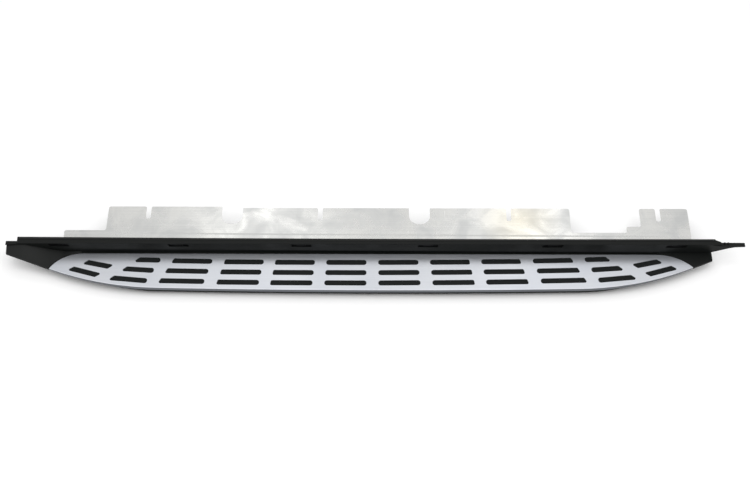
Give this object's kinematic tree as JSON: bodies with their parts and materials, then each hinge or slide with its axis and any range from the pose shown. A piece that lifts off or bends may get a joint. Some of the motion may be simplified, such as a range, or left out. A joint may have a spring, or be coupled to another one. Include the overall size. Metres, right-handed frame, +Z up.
{
  "type": "running board",
  "caption": "Straight running board with a slotted silver tread over black grip pads, a black sill trim with end caps, and an aluminium mounting sheet with open bolt slots.",
  "frame": {"origin": "centre of the board's bounding box, on the plane of its lowest face", "axes": "+X along the vehicle, +Y from the tread towards the vehicle, +Z up"},
  "size_m": [1.984, 0.2527, 0.0732],
  "materials": {
    "silver_aluminium": "satin silver anodised",
    "mill_aluminium": "mill finish with rolling lines and handling smudges",
    "extruded_aluminium": "as extruded",
    "black_plastic": "fine moulded grain",
    "black_nylon": "smooth moulded",
    "mat_rubber": "moulded with fine ribs",
    "seal_rubber": "extruded",
    "zinc_steel": "bright zinc plate",
    "black_steel": "black zinc plate"
  },
  "bodies": {
    "root": {"tread_plate": "silver_aluminium", "grip_mat_left": "mat_rubber", "grip_mat_centre": "mat_rubber", "grip_mat_right": "mat_rubber", "step_body": "black_plastic", "sill_trim": "black_plastic", "trim_clips": "black_nylon", "sill_seal": "seal_rubber", "mounting_sheet": "mill_aluminium", "support_beam": "extruded_aluminium", "beam_plug_left": "black_nylon", "beam_plug_right": "black_nylon", "support_bracket_1": "extruded_aluminium", "support_bracket_2": "extruded_aluminium", "support_bracket_3": "extruded_aluminium", "support_bracket_4": "extruded_aluminium", "support_bracket_5": "extruded_aluminium", "bracket_bolts": "zinc_steel", "bracket_washers": "zinc_steel", "beam_rivet_nuts": "zinc_steel", "upstand_rivets": "zinc_steel", "tread_studs": "zinc_steel", "tread_nuts": "zinc_steel", "body_screws": "black_steel", "end_cap_left": "black_plastic", "end_cap_right": "black_plastic", "cap_screws": "black_steel"}
  },
  "joints": []
}
